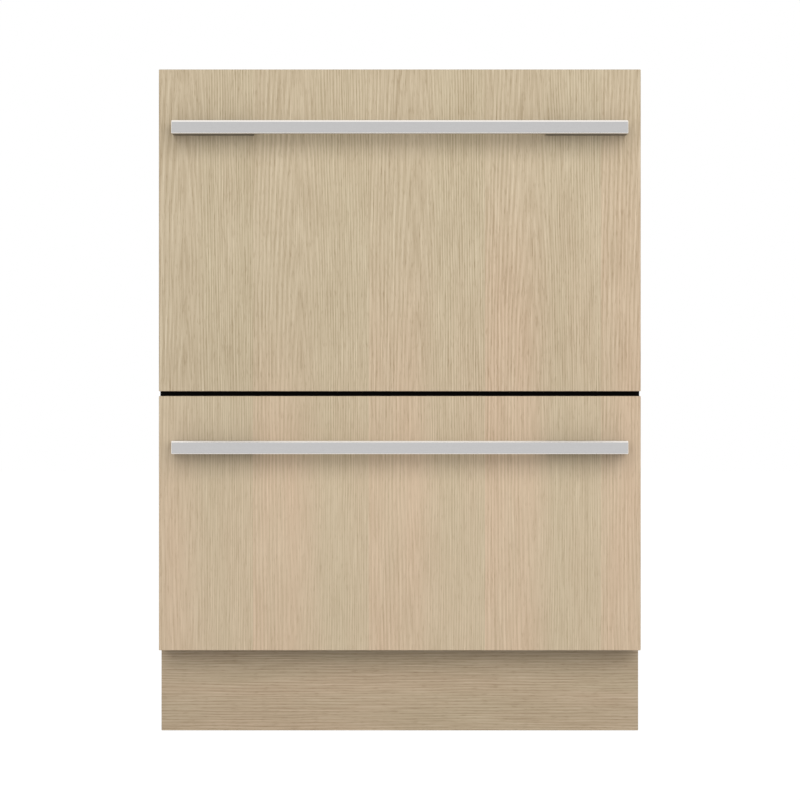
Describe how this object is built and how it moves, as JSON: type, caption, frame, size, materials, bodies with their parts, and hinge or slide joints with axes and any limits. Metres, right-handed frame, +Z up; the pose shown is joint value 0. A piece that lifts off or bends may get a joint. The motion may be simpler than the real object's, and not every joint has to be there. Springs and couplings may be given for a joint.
{
  "type": "double dishwasher drawer",
  "caption": "Built-in dishwasher with an upper and a lower wash drawer on telescopic slides, oak-veneer fronts, brushed bar handles and a recessed toe kick.",
  "frame": {"origin": "on the floor, under the centre of the overall box", "axes": "+Z up; the fronts and handles face -Y; +X is to the right in the front view"},
  "size_m": [0.596, 0.612, 0.822],
  "materials": {
    "oak_front": "pale oak veneer, vertical grain, matt lacquer",
    "oak_kick": "pale oak veneer, horizontal grain, matt lacquer",
    "handle_aluminium": "brushed along its length",
    "galvanised_sheet": "galvanised steel sheet",
    "slide_steel": "zinc-plated steel",
    "black_trim": "black paint",
    "frame_plastic": "dark grey moulded plastic",
    "strip_gloss": "gloss black",
    "button_silver": "silver satin",
    "tub_plastic": "light grey moulded polypropylene",
    "white_moulding": "white moulded plastic",
    "rack_coating": "nylon-coated steel wire",
    "wash_plastic": "blue-grey moulded plastic",
    "seal_rubber": "soft grey rubber",
    "black_plastic": "black moulded plastic"
  },
  "bodies": {
    "chassis": {"side_panel_left": "galvanised_sheet", "side_panel_right": "galvanised_sheet", "back_panel": "galvanised_sheet", "top_panel": "galvanised_sheet", "middle_brace": "black_trim", "base_tray": "black_plastic", "inlet_valve": "white_moulding", "toe_kick": "oak_kick", "lower_fixed_slide_left": "slide_steel", "lower_fixed_slide_right": "slide_steel", "upper_fixed_slide_left": "slide_steel", "upper_fixed_slide_right": "slide_steel"},
    "levelling_foot_front_left": {"levelling_foot_front_left": "black_plastic"},
    "levelling_foot_front_right": {"levelling_foot_front_right": "black_plastic"},
    "levelling_foot_rear_left": {"levelling_foot_rear_left": "black_plastic"},
    "levelling_foot_rear_right": {"levelling_foot_rear_right": "black_plastic"},
    "lower_drawer": {"lower_tub": "tub_plastic", "lower_front_frame": "frame_plastic", "lower_door_panel": "oak_front", "lower_handle": "handle_aluminium", "lower_control_strip": "strip_gloss", "lower_wash_motor": "black_plastic", "lower_filter_plate": "wash_plastic", "lower_dispenser": "white_moulding", "lower_dish_rack": "rack_coating", "lower_cutlery_basket": "wash_plastic", "lower_inner_slide_left": "slide_steel", "lower_inner_slide_right": "slide_steel"},
    "lower_middle_slide_left": {"lower_middle_slide_left": "slide_steel"},
    "lower_middle_slide_right": {"lower_middle_slide_right": "slide_steel"},
    "lower_lid": {"lower_lid": "white_moulding", "lower_lid_seal": "seal_rubber"},
    "lower_spray_arm": {"lower_spray_arm": "wash_plastic"},
    "lower_power_button": {"lower_power_button": "button_silver"},
    "lower_start_button": {"lower_start_button": "button_silver"},
    "lower_detergent_door": {"lower_detergent_door": "wash_plastic"},
    "lower_cup_rack_left": {"lower_cup_rack_left": "rack_coating"},
    "lower_cup_rack_right": {"lower_cup_rack_right": "rack_coating"},
    "upper_drawer": {"upper_tub": "tub_plastic", "upper_front_frame": "frame_plastic", "upper_door_panel": "oak_front", "upper_handle": "handle_aluminium", "upper_control_strip": "strip_gloss", "upper_wash_motor": "black_plastic", "upper_filter_plate": "wash_plastic", "upper_dispenser": "white_moulding", "upper_dish_rack": "rack_coating", "upper_cutlery_basket": "wash_plastic", "upper_inner_slide_left": "slide_steel", "upper_inner_slide_right": "slide_steel"},
    "upper_middle_slide_left": {"upper_middle_slide_left": "slide_steel"},
    "upper_middle_slide_right": {"upper_middle_slide_right": "slide_steel"},
    "upper_lid": {"upper_lid": "white_moulding", "upper_lid_seal": "seal_rubber"},
    "upper_spray_arm": {"upper_spray_arm": "wash_plastic"},
    "upper_power_button": {"upper_power_button": "button_silver"},
    "upper_start_button": {"upper_start_button": "button_silver"},
    "upper_detergent_door": {"upper_detergent_door": "wash_plastic"},
    "upper_cup_rack_left": {"upper_cup_rack_left": "rack_coating"},
    "upper_cup_rack_right": {"upper_cup_rack_right": "rack_coating"}
  },
  "joints": [
    {"name": "levelling_foot_front_left_turn", "type": "hinge", "parent": "chassis", "child": "levelling_foot_front_left", "pos_m": [-0.2635, -0.174, 0.028], "axis": [0, 0, 1], "continuous": true},
    {"name": "levelling_foot_front_right_turn", "type": "hinge", "parent": "chassis", "child": "levelling_foot_front_right", "pos_m": [0.2635, -0.174, 0.028], "axis": [0, 0, 1], "continuous": true},
    {"name": "levelling_foot_rear_left_turn", "type": "hinge", "parent": "chassis", "child": "levelling_foot_rear_left", "pos_m": [-0.2635, 0.272, 0.028], "axis": [0, 0, 1], "continuous": true},
    {"name": "levelling_foot_rear_right_turn", "type": "hinge", "parent": "chassis", "child": "levelling_foot_rear_right", "pos_m": [0.2635, 0.272, 0.028], "axis": [0, 0, 1], "continuous": true},
    {"name": "lower_drawer_slide", "type": "slide", "parent": "chassis", "child": "lower_drawer", "axis": [0, -1, 0], "range_m": [0, 0.5]},
    {"name": "lower_middle_slide_left_travel", "type": "slide", "parent": "chassis", "child": "lower_middle_slide_left", "axis": [0, -1, 0], "range_m": [0, 0.25]},
    {"name": "lower_middle_slide_right_travel", "type": "slide", "parent": "chassis", "child": "lower_middle_slide_right", "axis": [0, -1, 0], "range_m": [0, 0.25]},
    {"name": "lower_lid_lift", "type": "slide", "parent": "chassis", "child": "lower_lid", "axis": [0, 0, 1], "range_m": [0, 0.006]},
    {"name": "lower_spray_arm_spin", "type": "hinge", "parent": "lower_drawer", "child": "lower_spray_arm", "pos_m": [0, 0.0198, 0.1834], "axis": [0, 0, 1], "continuous": true},
    {"name": "lower_power_button_press", "type": "slide", "parent": "lower_drawer", "child": "lower_power_button", "axis": [0, 0, -1], "range_m": [0, 0.0015], "stiffness_N_per_m": 400, "springref_m": -0.002},
    {"name": "lower_start_button_press", "type": "slide", "parent": "lower_drawer", "child": "lower_start_button", "axis": [0, 0, -1], "range_m": [0, 0.0015], "stiffness_N_per_m": 400, "springref_m": -0.002},
    {"name": "lower_detergent_door_slide", "type": "slide", "parent": "lower_drawer", "child": "lower_detergent_door", "axis": [-1, 0, 0], "range_m": [0, 0.054]},
    {"name": "lower_cup_rack_left_fold", "type": "hinge", "parent": "lower_drawer", "child": "lower_cup_rack_left", "pos_m": [-0.2525, 0.0198, 0.29], "axis": [0, 1, 0], "range_deg": [0, 90]},
    {"name": "lower_cup_rack_right_fold", "type": "hinge", "parent": "lower_drawer", "child": "lower_cup_rack_right", "pos_m": [0.2525, 0.0198, 0.29], "axis": [0, -1, 0], "range_deg": [0, 90]},
    {"name": "upper_drawer_slide", "type": "slide", "parent": "chassis", "child": "upper_drawer", "axis": [0, -1, 0], "range_m": [0, 0.5]},
    {"name": "upper_middle_slide_left_travel", "type": "slide", "parent": "chassis", "child": "upper_middle_slide_left", "axis": [0, -1, 0], "range_m": [0, 0.25]},
    {"name": "upper_middle_slide_right_travel", "type": "slide", "parent": "chassis", "child": "upper_middle_slide_right", "axis": [0, -1, 0], "range_m": [0, 0.25]},
    {"name": "upper_lid_lift", "type": "slide", "parent": "chassis", "child": "upper_lid", "axis": [0, 0, 1], "range_m": [0, 0.006]},
    {"name": "upper_spray_arm_spin", "type": "hinge", "parent": "upper_drawer", "child": "upper_spray_arm", "pos_m": [0, 0.0198, 0.5374], "axis": [0, 0, 1], "continuous": true},
    {"name": "upper_power_button_press", "type": "slide", "parent": "upper_drawer", "child": "upper_power_button", "axis": [0, 0, -1], "range_m": [0, 0.0015], "stiffness_N_per_m": 400, "springref_m": -0.002},
    {"name": "upper_start_button_press", "type": "slide", "parent": "upper_drawer", "child": "upper_start_button", "axis": [0, 0, -1], "range_m": [0, 0.0015], "stiffness_N_per_m": 400, "springref_m": -0.002},
    {"name": "upper_detergent_door_slide", "type": "slide", "parent": "upper_drawer", "child": "upper_detergent_door", "axis": [-1, 0, 0], "range_m": [0, 0.054]},
    {"name": "upper_cup_rack_left_fold", "type": "hinge", "parent": "upper_drawer", "child": "upper_cup_rack_left", "pos_m": [-0.2525, 0.0198, 0.644], "axis": [0, 1, 0], "range_deg": [0, 90]},
    {"name": "upper_cup_rack_right_fold", "type": "hinge", "parent": "upper_drawer", "child": "upper_cup_rack_right", "pos_m": [0.2525, 0.0198, 0.644], "axis": [0, -1, 0], "range_deg": [0, 90]}
  ],
  "couplings": [
    {"joint": "lower_middle_slide_left_travel", "follows": "lower_drawer_slide", "ratio": 0.5},
    {"joint": "lower_middle_slide_right_travel", "follows": "lower_drawer_slide", "ratio": 0.5},
    {"joint": "upper_middle_slide_left_travel", "follows": "upper_drawer_slide", "ratio": 0.5},
    {"joint": "upper_middle_slide_right_travel", "follows": "upper_drawer_slide", "ratio": 0.5}
  ]
}
